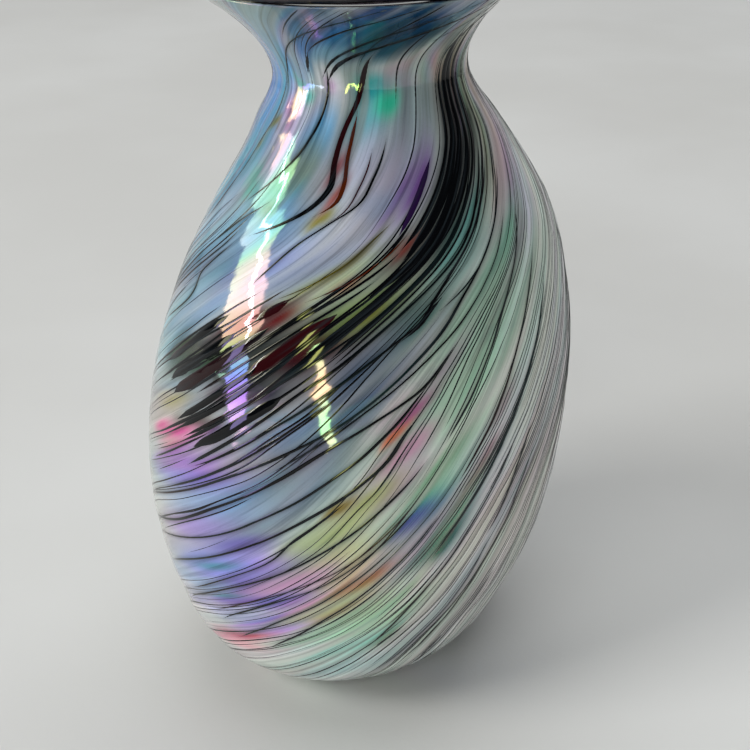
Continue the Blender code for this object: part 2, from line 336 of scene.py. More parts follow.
# Colour washes in the casing: pull line in degrees, height in mm, half width in degrees,
# half height in mm, colour, strength
WASHES = (
    # the flare: slate blue under the lip, darkened there with painted shade of the flare's underside; paler
    # at the left and over the neck
    (-92, 195, 26, 7, "2c5078", 1.0), (-120, 194, 12, 8, "a8b8b4", 0.8),
    (-88, 192, 10, 6, "1c3448", 0.95), (-72, 195, 8, 7, "4c6470", 0.9),
    (-60, 192, 8, 8, "e4ecea", 0.95), (-100, 189, 6, 5, "4878a8", 0.85),
    (-97, 185, 5, 3, "94b8cc", 0.8), (-80, 184, 10, 2, "d0a8b4", 0.6),
    # the neck and the left shoulder: pale blue and lilac
    (-122, 176, 16, 18, "5c90cc", 0.9), (-110, 180, 7, 6, "68a4c4", 0.85),
    (-104, 168, 6, 8, "dcd0ec", 0.85), (-117, 157, 9, 12, "3c8cac", 0.9),
    (-96, 179, 4, 4, "f0f0f8", 1.0),
    (-124, 146, 12, 14, "78b0c8", 0.85), (-96, 168, 4, 6, "80c4f4", 0.85),
    (-86, 180, 5, 5, "408c90", 0.85), (-96, 157, 4, 7, "407c70", 0.85),
    (-86, 172, 5, 6, "6ca8b0", 0.8), (-84, 163, 7, 8, "b4b8cc", 0.8),
    (-79, 172, 5, 14, "8c9ca0", 0.8), (-78, 158, 5, 10, "a4a0b4", 0.7),
    (-80, 146, 7, 14, "d4d8e0", 0.8), (-96, 164, 3, 5, "7c8058", 0.6),
    (-102, 142, 12, 14, "90b8cc", 0.9), (-92, 148, 6, 8, "90b8e0", 0.8),
    (-88, 138, 6, 8, "a0acd8", 0.9), (-97, 131, 8, 8, "58889c", 0.8),
    (-88, 124, 7, 9, "a4b8d4", 0.9), (-84, 114, 5, 6, "88a8dc", 0.9),
    (-92, 108, 10, 12, "a8ccdc", 0.9), (-78, 140, 4, 8, "8c9cc0", 0.7),
    # the black band and the slate field under it
    (-67, 176, 5, 14, "05070a", 1.0), (-61, 176, 2.5, 14, "303c40", 0.9),
    (-67, 160, 5, 12, "05070a", 1.0), (-76, 157, 3.5, 8, "74588c", 0.9),
    (-66, 146, 4.5, 9, "101418", 1.0), (-60, 145, 3, 10, "548480", 0.95),
    (-72, 144, 3, 6, "584038", 0.8), (-67, 131, 7, 8, "849468", 0.9),
    (-70, 120, 10, 9, "120e14", 0.98), (-79, 114, 7, 8, "060608", 1.0),
    (-66, 123, 4, 8, "481418", 0.9), (-77, 128, 4, 5, "5c1c20", 0.95),
    (-67, 109, 7, 6, "14161c", 0.97), (-71, 102, 5, 3, "a8bcc4", 0.9),
    (-64, 97, 4, 3, "101014", 0.9), (-62, 103, 3, 3, "90a4bc", 0.8),
    (-65, 130, 4, 5, "98ac80", 0.85), (-75, 138, 3.5, 6, "b4c0a4", 0.8),
    (-56, 144, 5, 10, "8ca4a0", 0.85), (-56, 130, 6, 8, "3c5450", 0.9),
    (-56, 118, 6, 10, "4c5868", 0.9), (-52, 106, 6, 10, "586478", 0.9),
    (-56, 98, 6, 8, "6c8ca4", 0.8), (-49, 94, 6, 10, "60686c", 0.9),
    (-46, 84, 6, 10, "687888", 0.85), (-50, 80, 4, 8, "70a0a0", 0.8),
    (-44, 72, 4, 8, "6c94a0", 0.8), (-42, 66, 4, 6, "608c7c", 0.7),
    (-66, 91, 2.6, 4, "dc5c9c", 0.9), (-64, 86, 1.5, 4, "d86c5c", 0.9),
    (-60, 85, 2.5, 6, "8860cc", 0.9), (-58, 80, 2.5, 5, "d06cb4", 0.8),
    (-72, 98, 2, 4, "b4b46c", 0.6), (-60, 74, 6, 8, "bcc8c8", 0.8),
    # green and mauve on the middle and the right
    (-54, 166, 5, 14, "88886c", 0.8), (-48, 172, 7, 12, "b0b4a8", 0.8),
    (-44, 158, 8, 10, "b8a8b4", 0.8), (-38, 146, 9, 8, "b4a4b8", 0.8),
    (-46, 140, 5, 10, "94c0ac", 0.85), (-44, 128, 6, 10, "a4c4b0", 0.8),
    (-38, 122, 6, 12, "b0d0bc", 0.8), (-40, 108, 4, 10, "90a098", 0.7),
    (-32, 130, 7, 14, "a8b4ac", 0.7), (-33, 110, 5, 12, "acccb8", 0.8),
    (-44, 112, 2.5, 8, "a49ca4", 0.8), (-42, 107, 1.8, 4, "943c78", 0.8),
    (-41, 103, 1.2, 3, "c85c3c", 0.8), (-36, 99, 3, 7, "c490a8", 0.8),
    (-31, 88, 4, 8, "c8a8b4", 0.8), (-34, 86, 3, 6, "a8a874", 0.7),
    (-33, 74, 4, 10, "c0c490", 0.85), (-27, 66, 4, 9, "ccc898", 0.85),
    (-26, 92, 3, 10, "84a890", 0.8), (-22, 80, 4, 10, "5c9c84", 0.8),
    (-21, 78, 2.6, 6, "3c3c88", 0.9), (-20, 104, 2, 8, "844c5c", 0.7),
    (-15, 92, 2.5, 7, "80485c", 0.7), (-17, 70, 4, 8, "a07c98", 0.7),
    (-14, 84, 3, 10, "68806c", 0.7), (-11, 74, 4, 8, "609080", 0.8),
    (-9, 67, 3.2, 7, "0c6450", 0.95), (-22, 60, 3, 8, "ccb89c", 0.7),
    (-18, 61, 2.0, 5, "a83418", 0.95), (-14, 51, 2.2, 6, "b8602c", 0.85),
    (-16, 54, 4, 8, "b4b884", 0.7), (-10, 50, 4, 9, "90b090", 0.8),
    # the lower left: blue, violet and pink
    (-56, 79, 5, 7, "8480dc", 0.8), (-36, 59, 6, 8, "b08ce8", 0.85), (-26, 48, 6, 6, "8c84d8", 0.75),
    (-16, 39, 6, 6, "b888cc", 0.8), (-62, 86, 3, 9, "b47ccc", 0.7),
    (-50, 72, 5, 8, "94bce4", 0.9), (-46, 64, 4, 7, "b49ce0", 0.8),
    (-40, 66, 2.4, 5, "6050b0", 0.8), (-38, 58, 3, 6, "98a4e0", 0.8),
    (-34, 54, 5, 7, "8c94dc", 0.85), (-36, 56, 1.2, 4, "188878", 0.8),
    (-27, 47, 1.4, 4, "0c9878", 0.9), (-30, 51, 3, 5, "6c5cc0", 0.8),
    (-24, 48, 2.2, 6, "5c40a8", 0.8), (-19, 40, 2.4, 7, "6c48b0", 0.85),
    (-31, 43, 4, 6, "98b8dc", 0.8), (-27, 58, 3, 7, "c89cc0", 0.8),
    (-20, 50, 3, 7, "cc9cb8", 0.8), (-24, 36, 6, 6, "b4bcdc", 0.7),
    (-12, 32, 2.6, 6, "b8485c", 0.8), (-9, 27, 3, 5, "d08c98", 0.7),
    (-6, 42, 5, 9, "98c4a4", 0.8), (0, 33, 5, 8, "98c4bc", 0.8),
    (8, 24, 7, 8, "a0c0bc", 0.7), (4, 36, 3, 5, "5c8468", 0.6),
    (8, 50, 7, 12, "a0a8a4", 0.6), (18, 40, 8, 12, "8c9490", 0.6),
    (10, 100, 12, 22, "b4b8b4", 0.5), (8, 78, 8, 12, "988c90", 0.5),
)
# The bright flecks where the fume is thickest, in the same terms
FLECKS = (
    (-84.2, 176, 2.2, 3.2, "34e0b4", 0.95), (-104, 177, 3.4, 1.8, "48d8c4", 0.9),
    (-96, 178, 1.4, 1.6, "e0b8e8", 0.8), (-112, 166, 3.2, 1.5, "84780c", 0.85),
    (-107, 170, 3.0, 2.0, "d898c8", 0.7), (-106, 155, 4.0, 3.0, "60d0c0", 0.8),
    (-90, 163, 0.9, 4.0, "a02c34", 0.8), (-86.8, 151.5, 1.6, 2.6, "989008", 0.9),
    (-87.5, 157, 0.8, 4.0, "a83c18", 0.85), (-76.5, 141, 1.0, 8.0, "90883c", 0.8),
    (-70.5, 146, 0.9, 3.0, "a03020", 0.8), (-73.0, 137, 1.2, 3.0, "a8501c", 0.7),
    (-37.0, 85.5, 1.5, 3.4, "a07c08", 0.95), (-65, 130, 1.6, 3.0, "8c8820", 0.7),
    (-97, 152, 1.6, 2.2, "6c6810", 0.8), (-80, 155, 3.0, 3.0, "90a8c8", 0.5),
)
WASH_PALETTE = (
    "88a8d0", "90b8cc", "a49cc8", "c89cc0", "98c4a4", "7ca888", "c0c490", "586478", "48605c",
    "844c5c", "6c94cc", "70a0a0",
)
BACK_WASHES = 90
BACK_SEED = 41
BACK_PULL = (30.0, 222.0)
BACK_HEIGHT = (12.0, 192.0)
BACK_HALF_WIDTH = (3.0, 10.0)
BACK_HALF_HEIGHT = (7.0, 18.0)
BACK_BAND_STEPS = 9

# Where the fine threads are close and wide: pull line in degrees, height in mm, half width and
# half height of the patch, closeness from 0 to 1, and the threads' width in degrees
THREAD_FIELDS = (
    (10, 100, 60, 90, 0.60, 0.48), (100, 110, 50, 90, 0.45, 0.50), (-170, 100, 50, 90, 0.42, 0.50),
    (-104, 168, 26, 30, 0.06, 0.45), (-82, 158, 6, 22, 0.04, 0.45), (-95, 193, 40, 7, 0.16, 0.7),
    (-84, 138, 7, 12, 0.05, 0.4), (-98, 130, 9, 12, 0.45, 0.6), (-90, 112, 10, 10, 0.16, 0.45),
    (-62, 170, 6, 18, 0.55, 0.7), (-53, 160, 8, 20, 0.60, 0.55), (-66, 146, 8, 12, 0.75, 0.8),
    (-69, 128, 10, 9, 0.75, 0.8), (-71, 112, 10, 10, 0.90, 1.0), (-64, 98, 7, 7, 0.80, 0.9),
    (-56, 122, 7, 14, 0.50, 0.5), (-53, 100, 6, 12, 0.66, 0.42), (-60, 82, 8, 9, 0.74, 0.38),
    (-50, 72, 7, 10, 0.70, 0.34),
    (-44, 128, 10, 18, 0.50, 0.5), (-40, 100, 6, 12, 0.52, 0.38), (-33, 78, 7, 14, 0.46, 0.34),
    (-24, 92, 7, 16, 0.46, 0.40), (-42, 62, 9, 12, 0.66, 0.33), (-26, 50, 9, 12, 0.58, 0.33),
    (-10, 74, 8, 14, 0.42, 0.46), (-6, 40, 8, 12, 0.48, 0.38), (20, 34, 12, 14, 0.42, 0.6),
)
PLAIN_CLOSENESS = 0.34
PLAIN_WIDTH = 0.50

# The bold threads and bands: greatest width in degrees, tint, and the route down from the lip
# as height in mm and pull line in degrees
BOLD_THREADS = (
    # over the flare and down the neck
    (1.8, "black", ((199.5, -66), (197, -73), (194, -80), (190, -87), (186, -92), (179, -97))),
    (1.1, "black", ((199.5, -75), (197, -83), (193, -89), (188, -93), (180, -98))),
    (0.9, "black", ((199.5, -56), (196, -66), (192, -75), (187, -82))),
    (1.6, "teal", ((199.5, -48), (196, -58), (192, -66), (187, -71), (182, -72))),
    (1.0, "black", ((199.5, -92), (195, -96), (190, -99), (186, -101))),
    (0.9, "teal", ((199.5, -97), (194, -101), (188, -106), (182, -110), (176, -113))),
    (2.2, "black", ((187, -100.4), (184, -101), (181, -101.8))),
    (0.8, "black", ((181, -112), (176, -113.6), (168, -113), (163, -114.4), (156, -115), (140, -113))),
    (0.8, "black", ((184, -96), (176, -97), (170, -97.4), (164, -98.6), (157, -101), (149, -104))),
    (1.4, "black", ((188, -88.4), (181, -89), (176, -90), (170, -91.4), (163, -91), (157, -89.2),
                    (152, -90), (147, -93), (143, -96))),
    (1.0, "rust", ((174, -89.8), (168, -89.6), (163, -88.8), (158, -87.2), (154, -86.6), (150, -89))),
    (0.6, "black", ((169, -83.6), (160, -83.2), (154, -83), (150, -85), (145, -86.4), (139, -85.6),
                    (133, -84))),
    (0.4, "maroon", ((167, -85.6), (158, -84.6), (152, -84.4), (148, -86.5))),
    (0.5, "olive", ((152, -75.4), (147, -76.6), (141, -76.8), (136, -77.6), (131, -79.2))),
    (0.7, "teal", ((154, -97), (146, -100.6), (140, -101), (130, -100.6), (108, -100))),
    (0.7, "teal", ((146, -98.6), (138, -97.6), (130, -98), (114, -98.2))),
    (0.9, "teal", ((142, -96.4), (136, -96), (131, -95), (128, -92.6), (112, -91.6))),
    (0.5, "black", ((152, -107.6), (146, -109.4), (138, -109.6), (122, -109))),
    (0.5, "teal", ((134, -103), (124, -102.4), (108, -102))),
    (0.6, "teal", ((128, -95), (116, -94.4), (100, -94))),
    # the black band
    (1.4, "black", ((185, -71.8), (178, -71.6), (170, -71.2), (163, -70.8), (154, -70.6), (144, -70.8))),
    (2.6, "black", ((192, -71), (186, -69.8), (178, -69.4), (170, -69.2), (160, -68.8), (142, -69.0))),
    (2.7, "black", ((188, -68.6), (178, -67.4), (170, -67.0), (162, -66.8), (154, -66.6), (144, -67.2),
                    (134, -68.0))),
    (2.6, "black", ((194, -67), (186, -65.6), (178, -65.0), (170, -64.8), (160, -64.3), (150, -64.8),
                    (140, -65.8), (128, -65.4), (112, -64.4))),
    (1.6, "black", ((184, -63.0), (170, -62.6), (160, -62.4), (150, -62.8), (138, -63.0), (120, -62.4))),
    (0.8, "black", ((180, -62.2), (166, -61.8), (150, -61.4), (134, -61.6), (118, -61))),
    (1.7, "violet", ((164, -74.4), (158, -74.2), (152, -73.6), (147, -73))),
    (0.6, "rust", ((149, -71.8), (144, -72.2), (138, -73.2), (132, -75.4))),
    (0.8, "black", ((146, -70.6), (138, -71.4), (130, -72.4), (120, -72.6), (102, -72))),
    (0.8, "black", ((140, -69.8), (130, -70.6), (120, -71.2), (104, -70.8))),
    (3.2, "maroon", ((134, -77.4), (130, -77.2), (126, -77))),
    (2.6, "black", ((127, -81.4), (121, -81.2), (115, -80.8), (106, -80.4))),
    (0.8, "black", ((128, -79.2), (120, -78.6), (110, -78.2), (100, -77.6))),
    (2.6, "black", ((124, -77.4), (116, -77), (109, -76.6), (103, -76.2))),
    (3.0, "black", ((127, -74.6), (119, -74.2), (112, -73.8), (106, -73.4), (100, -73))),
    (3.6, "maroon", ((132, -69.0), (126, -69.4), (121, -69.2), (113, -68.6))),
    (1.6, "black", ((128, -70.2), (118, -69.4), (110, -68.8), (102, -68.2), (94, -67.8))),
    (1.3, "black", ((122, -67.4), (112, -66.8), (104, -66.4), (92, -66))),
    (0.9, "black", ((130, -63), (118, -64), (108, -64.4), (96, -64))),
    (2.6, "black", ((112, -62.2), (104, -61.8), (98, -61.6), (90, -61.4))),
    (0.9, "black", ((118, -61), (106, -60.2), (96, -59.6), (84, -58.6))),
    (0.7, "black", ((98, -63), (88, -62.6), (76, -62))),
    # the slate field
    (1.0, "black", ((166, -60.2), (154, -59.8), (144, -59.2), (134, -59.8), (122, -60.2), (110, -60.4))),
    (0.9, "black", ((162, -57.6), (150, -58.2), (140, -57.8), (134, -56.6), (129, -55.2), (124, -56.2),
                    (116, -57.2), (108, -57.6), (84, -58))),
    (1.3, "black", ((135, -55.6), (131, -55.4), (128, -54.8), (124, -55.8))),
    (0.7, "black", ((142, -51.6), (134, -52.4), (130, -54))),
    (0.9, "black", ((112, -56), (100, -55.6), (86, -55.4), (72, -55))),
    (1.0, "black", ((160, -52.6), (146, -52.4), (134, -51), (127, -49.6), (118, -49.6), (106, -50.6),
                    (96, -52.4), (88, -53.4), (76, -53.6), (56, -53.2))),
    (0.7, "black", ((150, -50), (140, -48), (128, -46.8), (118, -48), (106, -49.6), (90, -50.8))),
    (1.2, "black", ((124, -44.4), (113, -44), (106, -46.4), (99, -48.2), (90, -48.6), (76, -48.6),
                    (65, -47.6), (46, -47.8))),
    (0.9, "black", ((116, -43.8), (104, -42.4), (92, -42.6), (78, -43), (66, -43), (46, -43.4))),
    (1.1, "black", ((108, -40), (103, -39.2), (96, -37.8), (88, -37.8), (80, -38.4), (68, -38.6),
                    (56, -37.8), (42, -35))),
    (0.8, "black", ((86, -36.8), (78, -36.2), (73, -35.8), (66, -34), (56, -32.6), (40, -28))),
    # the pale middle
    (0.9, "black", ((96, -30.4), (86, -29.8), (76, -29.8), (62, -30.2), (52, -29.6), (42, -27), (32, -23))),
    (0.7, "maroon", ((86, -24.8), (76, -24), (66, -24), (56, -25.2), (46, -24.4), (36, -21))),
    (0.9, "black", ((84, -23.2), (70, -22.6), (60, -22.8), (50, -23.4), (42, -21.6), (34, -18))),
    (0.8, "black", ((74, -19.8), (64, -19.6), (54, -19), (44, -17.6), (36, -14.6), (28, -11))),
    (0.9, "black", ((80, -16.4), (68, -15.6), (56, -15), (46, -13.6), (38, -11), (28, -7))),
    # the right side and the foot; the grey tint there is painted reflection of the pale backdrop over dark
    # threads
    (0.9, "grey", ((150, -45), (140, -41), (126, -36), (112, -32), (98, -29))),
    (1.0, "grey", ((140, -33), (128, -28), (114, -23.6), (100, -20), (86, -18))),
    (1.3, "teal", ((132, -22), (118, -17), (104, -13.6), (90, -11), (76, -9.6), (64, -8.8))),
    (1.0, "grey", ((94, -6.6), (82, -5), (70, -4), (58, -3), (46, -1), (32, 4))),
    (1.4, "grey", ((96, -2), (84, 1.6), (74, 4), (66, 4.6))),
    (1.2, "grey", ((88, 6), (76, 8.6), (66, 10.2), (56, 11), (46, 13), (36, 16), (20, 21))),
    (0.9, "grey", ((66, 6.4), (56, 8.2), (46, 10.2), (34, 13), (18, 18))),
    (1.4, "grey", ((52, 20), (44, 21.4), (34, 24), (24, 27), (13, 31))),
    (2.4, "teal", ((42, 3.2), (37, 4.2), (32, 5.2))),
    (2.6, "grey", ((30, 23.4), (25, 25.4), (19, 27.6))),
    # the back
    (2.6, "black", ((186, 96), (170, 97), (152, 99), (134, 101), (116, 100), (98, 102), (78, 104))),
    (2.4, "black", ((180, 99), (162, 100), (144, 102), (126, 104), (108, 104), (90, 106))),
    (1.8, "black", ((186, 103), (166, 104), (146, 105), (128, 107), (104, 108))),
    (1.4, "black", ((184, 120), (160, 122), (136, 124), (112, 123), (88, 126), (60, 128))),
    (1.0, "teal", ((186, 140), (160, 143), (130, 141), (100, 146), (70, 148), (46, 150))),
    (1.4, "black", ((150, 160), (130, 163), (108, 162), (84, 166), (60, 167), (36, 170))),
    (0.9, "rust", ((170, 172), (150, 176), (128, 174), (104, 178), (76, 182))),
    (1.1, "black", ((184, 64), (160, 62), (134, 66), (106, 65), (78, 70), (50, 72))),
    (1.0, "black", ((186, 44), (164, 46), (140, 42), (116, 46), (90, 50), (62, 52), (36, 54))),
    (1.2, "black", ((186, 24), (166, 22), (144, 26), (118, 28), (94, 30), (66, 36), (40, 38))),
    (0.9, "maroon", ((186, 200), (164, 203), (138, 206), (112, 204), (86, 208), (56, 212))),
)
# The grey tint is dark thread glass with the pale backdrop's reflection painted in.
TINTS = {
    "black": "050608", "teal": "0c2424", "rust": "481a08", "olive": "4c4410", "maroon": "2c080c",
    "violet": "241038", "grey": "242a2a",
}


def falloff(pull_degrees, height_mm, middle, level, half_width, half_height):
    """Weight of a soft oval patch at a place, 1 at its middle."""
    off = wrapped(pull_degrees - middle) / half_width
    away = (height_mm - level) / half_height
    return np.exp(-0.9 * (off * off + away * away) ** 1.3)


def all_washes():
    """The chosen washes, and seeded ones of the same kind round the back."""
    generator = np.random.default_rng(BACK_SEED)
    washes = list(WASHES)
    for _ in range(BACK_WASHES):
        middle = generator.uniform(*BACK_PULL)
        level = generator.uniform(*BACK_HEIGHT)
        code = WASH_PALETTE[generator.integers(len(WASH_PALETTE))]
        half_width = generator.uniform(*BACK_HALF_WIDTH)
        half_height = generator.uniform(*BACK_HALF_HEIGHT)
        washes.append((middle, level, half_width, half_height, code, 0.9))
    for step in range(BACK_BAND_STEPS):
        washes.append((100.0 + step, 184.0 - 13.0 * step, 7, 11, "0c1014", 0.97))
    return washes


def halo_share(pull, height):
    """How dark the casing is beside the bold threads, where their glass has bled into it."""
    shade = np.zeros(pull.shape)
    for width, tint, heights, middle in bold_routes():
        place = np.interp(height, heights[::-1], middle[::-1])
        above = np.clip((height - heights[-1]) / HALO_FADE, 0.0, 1.0)
        below = np.clip((heights[0] - height) / HALO_FADE, 0.0, 1.0)
        off = wrapped(np.degrees(pull - place)) / (HALO_REACH * (0.5 * width + 0.30))
        shade = np.maximum(shade, HALO_DEPTH * np.exp(-off * off) * above * below)
    return shade


def painted_veil_brightness(pull_degrees, height_mm):
    """How bright the washes are at a place, as a share of their colours: paler at the right, where the pale
    backdrop's reflection is painted in.
    """
    shift = PAINTED_VEIL_SHIFT * eased((PAINTED_VEIL_SHIFT_STARTS - height_mm) / PAINTED_VEIL_SHIFT_LENGTH)
    off = wrapped(pull_degrees - PAINTED_VEIL_MIDDLE - shift) / PAINTED_VEIL_REACH
    return UNVEILED_SHARE + (PAINTED_VEIL_SHARE - UNVEILED_SHARE) * np.exp(-off**4)


def wash_colour(pull, height):
    """Colour of the casing under the threads: washes cut into stripes by the pulling."""
    strand = strand_of(pull, height)
    ripple = streaks(strand, height, 110, 0.050, 3, 0.3)
    fine = streaks(strand, height, 260, 0.030, 4, 0.5)
    pull_degrees = np.degrees(pull) + 0.9 * ripple + 0.4 * fine
    height_mm = height * 1000.0 + 3.0 * ripple + 2.0 * streaks(strand, height, 60, 0.030, 5)
    colour = np.empty(pull.shape + (3,))
    colour[...] = OPAL
    for middle, level, half_width, half_height, code, strength in all_washes():
        weight = strength * falloff(
            pull_degrees, height_mm, middle, level, half_width, half_height
        )
        weight = np.clip(weight * (1.0 + 0.3 * fine), 0.0, 1.0)[..., None]
        colour = colour * (1.0 - weight) + srgb(code) * weight
    tone = streaks(strand, height, 120, 0.070, 6, 0.35)
    hue = streaks(strand, height, 70, 0.050, 7, 0.35)[..., None]
    grey = (colour @ LUMINANCE)[..., None]
    colour = np.clip(grey + SATURATION * (colour - grey), 0.0, 1.0)
    # painted reflection: the washes are paled at the right side as by the pale backdrop's veil
    bright = painted_veil_brightness(pull_degrees, height_mm)
    colour *= (bright * (1.0 + 0.20 * tone + 0.08 * fine))[..., None]
    colour *= 1.0 + hue * HUE_CHANGE
    for middle, level, half_width, half_height, code, strength in FLECKS:
        weight = strength * falloff(
            np.degrees(pull) + 0.4 * fine, height_mm, middle, level, half_width, half_height
        )
        colour = colour * (1.0 - weight[..., None]) + FLECK_DEPTH * srgb(code) * weight[..., None]
    return colour * (1.0 - halo_share(pull, height))[..., None]


# ---------------------------------------------------------------- relief
# Streaks of relief: cells round the body, a cell's length, seed, height, and the height added at
# the neck. In turn: flutes, ridges, lines, dents, squiggles.
RELIEF = (
    (30, 0.030, 11, 0.00008, 0.00024),
    (96, 0.022, 12, 0.00006, 0.0),
    (210, 0.007, 13, 0.000038, 0.0),
    (70, 0.008, 15, 0.00009, 0.00002),
    (120, 0.003, 16, 0.00004, 0.0),
)
SLOW_RELIEF = 0.00022
NECK_HEIGHT = 0.172
NECK_REACH = 0.018


def wall_relief(angle, height, pull):
    """How far the hand-worked surface stands off the plain form, in metres."""
    slow = np.sin(2.0 * angle + 0.8) * np.sin(height * 55.0 + 0.4)
    neck = np.exp(-(((height - NECK_HEIGHT) / NECK_REACH) ** 2))
    strand = strand_of(pull, height)
    worked = 0.0
    for cells, length, seed, plain, at_neck in RELIEF:
        worked = worked + streaks(strand, height, cells, length, seed) * (plain + at_neck * neck)
    return SLOW_RELIEF * slow + worked


# ---------------------------------------------------------------- meshes
def grid_faces(rows, columns, closed_rows=False):
    """Quads of a grid that closes round its columns, and round its rows if asked."""
    row_count = rows if closed_rows else rows - 1
    row = np.arange(row_count)[:, None]
    column = np.arange(columns)[None, :]
    next_row = (row + 1) % rows
    next_column = (column + 1) % columns
    quads = np.stack(
        [
            row * columns + column,
            next_row * columns + column,
            next_row * columns + next_column,
            row * columns + next_column,
        ],
        axis=-1,
    )
    return quads.reshape(-1, 4)


def make_object(name, points, faces):
    """A smooth object in the scene, from points and faces."""
    mesh = bpy.data.meshes.new(name)
    mesh.from_pydata(points.reshape(-1, 3).tolist(), [], faces.tolist())
    mesh.shade_smooth()
    mesh.update()
    piece = bpy.data.objects.new(name, mesh)
    bpy.context.scene.collection.objects.link(piece)
    return piece


def add_vector(piece, name, values):
    """Give a piece a vector at each point."""
    data = piece.data.attributes.new(name, "FLOAT_VECTOR", "POINT").data
    data.foreach_set("vector", np.ascontiguousarray(values, dtype=np.float32).reshape(-1))


def add_colour(piece, name, values):
    """Give a piece a colour at each point."""
    data = piece.data.attributes.new(name, "FLOAT_COLOR", "POINT").data
    full = np.ones((values.reshape(-1, 3).shape[0], 4), dtype=np.float32)
    full[:, :3] = values.reshape(-1, 3)
    data.foreach_set("color", full.reshape(-1))


def flow_vector(pull, height):
    """Place along the strands, for the streaks of the materials."""
    strand = strand_of(pull, height)
    return np.stack([np.cos(strand), np.sin(strand), path_length(height) * 10.0], axis=-1)


def even_heights(count, top, bottom):
    """Heights whose rings are evenly spaced down the outer surface."""
    levels = np.linspace(top, bottom, OUTLINE_LEVELS)
    total = running_length(levels, np.sqrt(1.0 + slope_of(RADIUS_KNOTS, levels) ** 2))
    return np.interp(np.linspace(0.0, total[-1], count), total, levels)


def lip_wave(angle):
    """Slight rise and fall of the hand-worked lip, in metres."""
    return 0.0004 * np.sin(3.0 * angle + 0.6) + 0.0003 * np.sin(5.0 * angle + 2.1)


def even_angles(columns):
    """Angles evenly spaced round the body."""
    return np.linspace(0.0, 2.0 * math.pi, columns, endpoint=False)


def add_flow(piece, angles, level):
    """Give a piece its place along the strands, from its points' angles and heights."""
    label = pull_angle(np.broadcast_to(angles, level.shape), level)
    add_vector(piece, "flow", flow_vector(label, level))
    return label


def flat_ring(angles, radius, level):
    """A level ring round the middle of the form at its height."""
    middle = smooth_value(LEAN_KNOTS, np.array(level))
    ring = [middle + radius * np.cos(angles), radius * np.sin(angles), np.full(len(angles), level)]
    return np.stack(ring, axis=-1)[None]


def inner_wall(angle, height, depth, floor):
    """Points at a depth under the plain outer surface, held above a floor."""
    base, outward = outer_point(angle, height)
    inner = base - outward * depth[..., None]
    inner[..., 2] = np.clip(inner[..., 2], floor, WALL_TOP)
    return inner


def make_casing():
    """The casing: its worked outer wall, the underside with a hole, and its plain inner wall."""
    angles = even_angles(COLUMNS)
    angle, height = np.meshgrid(angles, even_heights(OUTER_ROWS, WALL_TOP, FOOT_EDGE))
    point, normal = outer_point(angle, height)
    fade = np.clip(height / FOOT_FADE, 0.0, 1.0)
    fade = fade * np.clip((WALL_TOP - height) / LIP_FADE, 0.0, 1.0)
    relief = wall_relief(angle, height, pull_angle(angle, height))
    rings = [point + normal * (relief * fade)[..., None]]
    edge = float(smooth_value(RADIUS_KNOTS, np.array(FOOT_EDGE)))
    for step in FOOT_STEPS:
        radius = edge + (FOOT_RADIUS - edge) * step
        rings.append(flat_ring(angles, radius, FOOT_EDGE * (1.0 - step) ** 2))
    hole = PONTIL_RADIUS + LAYER_GAP
    for radius in np.linspace(FOOT_RADIUS, hole, FOOT_RINGS + 1)[1:]:
        rings.append(flat_ring(angles, radius, 0.0))
    rings.append(flat_ring(angles, hole, CASING_FLOOR))
    inner_heights = np.linspace(CASING_FLOOR + 0.001, WALL_TOP, INNER_ROWS)
    angle, height = np.meshgrid(angles, inner_heights)
    rings.append(inner_wall(angle, height, CASING_DEPTH * wall_share(height), CASING_FLOOR))
    points = np.concatenate(rings, axis=0)
    piece = make_object("iridised_casing", points, grid_faces(len(points), COLUMNS, True))
    level = np.clip(points[..., 2], 0.0, WALL_TOP)
    label = add_flow(piece, angles, level)
    add_colour(piece, "wash", wash_colour(label, level))
    return piece


def thread_field(pull_degrees, height_mm):
    """How close together the fine threads are, from 0 to 1, and how wide, in degrees."""
    closeness = np.full(pull_degrees.shape, PLAIN_CLOSENESS)
    width = np.full(pull_degrees.shape, PLAIN_WIDTH)
    for middle, level, half_width, half_height, close, wide in THREAD_FIELDS:
        weight = falloff(pull_degrees, height_mm, middle, level, half_width, half_height)
        closeness += (close - closeness) * weight
        width += (wide - width) * weight
    return closeness, width


class Ribbons:
    """Low domed ribbons of glass along the pull lines, gathered into one mesh."""

    def __init__(self):
        self.points = []
        self.faces = []
        self.labels = []
        self.levels = []
        self.shades = []
        self.used = 0

    def add(self, heights, pull, half, shade, sides):
        """A ribbon down the heights; half is its half width as an angle, shade its colour."""
        count = len(heights)
        steps = np.arange(count)
        taper = np.clip(np.minimum(steps, steps[::-1]) / TAPER_STEPS, 0.0, 1.0)
        half = half * np.sqrt(taper)
        places = np.linspace(-1.0, 1.0, sides)
        label = pull[:, None] + half[:, None] * places[None, :]
        level = np.repeat(heights[:, None], sides, axis=1)
        angle = angle_on(label, level)
        base, normal = outer_point(angle, level)
        reach = smooth_value(RADIUS_KNOTS, heights) * half
        crown = np.minimum(CROWN_BASE + CROWN_SHARE * reach, CROWN_LIMIT)
        crown = crown * np.clip(taper, 0.1, 1.0)
        dome = 1.0 - places**4
        lift = wall_relief(angle, level, label)
        lift = lift + crown[:, None] * dome[None, :] - EDGE_SINK * np.abs(places)[None, :]
        self.points.append((base + normal * lift[..., None]).reshape(-1, 3))
        row = np.arange(count - 1)[:, None]
        column = np.arange(sides - 1)[None, :]
        first = self.used + row * sides + column
        quads = np.stack([first, first + sides, first + sides + 1, first + 1], axis=-1)
        self.faces.append(quads.reshape(-1, 4))
        self.labels.append(label.reshape(-1))
        self.levels.append(level.reshape(-1))
        self.shades.append(np.repeat(shade, sides, axis=0))
        self.used += count * sides

    def build(self, name):
        piece = make_object(name, np.concatenate(self.points), np.concatenate(self.faces))
        flow = flow_vector(np.concatenate(self.labels), np.concatenate(self.levels))
        add_vector(piece, "flow", flow)
        add_colour(piece, "shade", np.concatenate(self.shades))
        return piece


